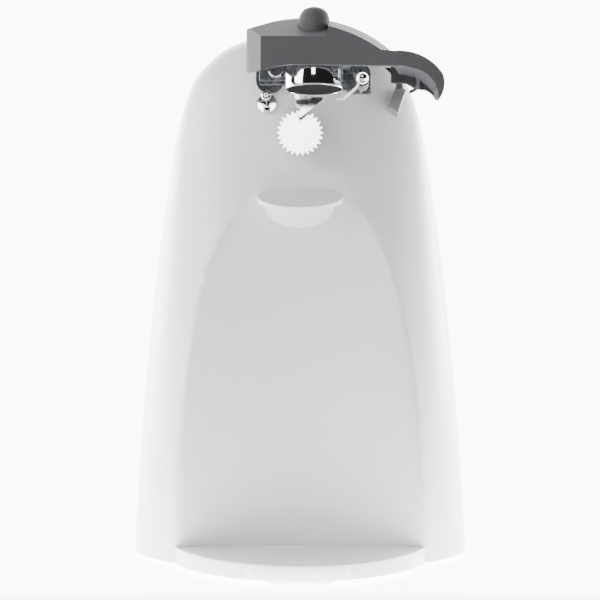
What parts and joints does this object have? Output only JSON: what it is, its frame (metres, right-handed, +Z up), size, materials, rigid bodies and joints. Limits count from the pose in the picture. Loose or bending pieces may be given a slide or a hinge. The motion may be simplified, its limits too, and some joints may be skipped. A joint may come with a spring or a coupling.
{
  "type": "electric can opener",
  "caption": "Upright electric can opener: tapered tower housing with arched can recess, hand lever with cutter, magnet and release button, and a motor-driven toothed wheel.",
  "frame": {"origin": "on the table, under the middle of the bounding box", "axes": "+Z up, -Y towards the person using it, +X to the right, where the lever handle points"},
  "size_m": [0.1436, 0.113, 0.2364],
  "materials": {
    "white_abs": "glossy",
    "grey_abs": "satin gloss",
    "rubber": "matt",
    "chrome": "polished",
    "steel": "satin zinc plated",
    "tool_steel": "ground",
    "zinc_screws": "bright",
    "guide_grey": "satin",
    "ferrite": "matt ceramic magnet",
    "gear_nylon": "natural",
    "brass": "sintered bronze",
    "laminations": "stacked sheet",
    "copper": "enamelled copper wire",
    "bobbin": "moulded"
  },
  "bodies": {
    "housing": {"front_housing": "white_abs", "rear_housing": "white_abs", "base_plate": "white_abs", "can_rest": "white_abs", "rubber_feet": "rubber", "cord_grommet": "rubber", "head_plate": "chrome", "head_plate_screw": "chrome", "guide_pin": "chrome", "guide_strap": "steel", "front_gear_plate": "steel", "rear_gear_plate": "steel", "plate_spacers": "steel", "second_axle": "steel", "first_axle": "steel", "front_motor_bracket": "steel", "rear_motor_bracket": "steel", "motor_spacers": "steel", "housing_screws": "zinc_screws", "base_screws": "zinc_screws", "plate_screws": "zinc_screws", "motor_screws": "zinc_screws", "can_guide": "guide_grey", "motor_bearings": "brass", "wheel_bush": "brass", "lever_bush": "brass", "stator_core": "laminations", "coil_winding": "copper", "shading_rings": "copper", "coil_bobbin": "bobbin", "switch_body": "bobbin"},
    "wheel": {"drive_wheel": "tool_steel", "wheel_spacer": "tool_steel", "drive_shaft": "steel", "drive_gear": "gear_nylon"},
    "second_gear_body": {"second_gear": "gear_nylon"},
    "first_gear_body": {"first_gear": "gear_nylon"},
    "rotor": {"rotor_core": "steel", "rotor_shaft": "steel", "motor_pinion": "brass", "cooling_fan": "gear_nylon"},
    "lever": {"lever_shell": "grey_abs", "lever_plate": "steel", "lever_screws": "zinc_screws", "lever_shaft": "chrome", "shaft_clip": "steel", "switch_cam": "gear_nylon", "cutting_blade": "tool_steel", "blade_lug": "tool_steel", "blade_rivet": "chrome", "bottle_opener": "chrome", "magnet_pin": "chrome", "magnet_spring": "chrome"},
    "magnet_body": {"magnet_arm": "steel", "magnet_cup": "chrome", "magnet": "ferrite"},
    "button": {"release_button": "grey_abs", "button_spring": "steel"},
    "plunger": {"switch_plunger": "bobbin"}
  },
  "joints": [
    {"name": "rotor_spin", "type": "hinge", "parent": "housing", "child": "rotor", "pos_m": [0, -0.02695, 0.11624], "axis": [0, -0.9708, 0.2401], "continuous": true},
    {"name": "first_gear_spin", "type": "hinge", "parent": "housing", "child": "first_gear_body", "pos_m": [0, -0.02205, 0.13604], "axis": [0, -0.9708, 0.2401], "continuous": true},
    {"name": "second_gear_spin", "type": "hinge", "parent": "housing", "child": "second_gear_body", "pos_m": [0, -0.01648, 0.15856], "axis": [0, -0.9708, 0.2401], "continuous": true},
    {"name": "wheel_spin", "type": "hinge", "parent": "housing", "child": "wheel", "pos_m": [0, -0.01065, 0.18215], "axis": [0, -0.9708, 0.2401], "continuous": true},
    {"name": "lever_swing", "type": "hinge", "parent": "housing", "child": "lever", "pos_m": [-0.01, -0.00439, 0.20749], "axis": [0, -0.9708, 0.2401], "range_deg": [0, 20]},
    {"name": "magnet_tilt", "type": "hinge", "parent": "lever", "child": "magnet_body", "pos_m": [0.0255, -0.02907, 0.20514], "axis": [0, -0.9708, 0.2401], "range_deg": [0, 10], "stiffness_Nm_per_rad": 0.12, "springref_deg": -8.59},
    {"name": "button_push", "type": "slide", "parent": "lever", "child": "button", "axis": [0, -0.2401, -0.9708], "range_m": [0, 0.0032], "deforming": ["button_spring"]},
    {"name": "plunger_slide", "type": "slide", "parent": "housing", "child": "plunger", "axis": [0, -0.2401, -0.9708], "range_m": [0, 0.0015]}
  ],
  "couplings": [
    {"joint": "first_gear_spin", "follows": "rotor_spin", "ratio": -0.13333},
    {"joint": "second_gear_spin", "follows": "rotor_spin", "ratio": 0.027778},
    {"joint": "wheel_spin", "follows": "rotor_spin", "ratio": -0.0063131},
    {"joint": "button_push", "follows": "magnet_tilt", "m_per_rad": 0.018335},
    {"joint": "plunger_slide", "follows": "lever_swing", "m_per_rad": 0.0042971}
  ]
}
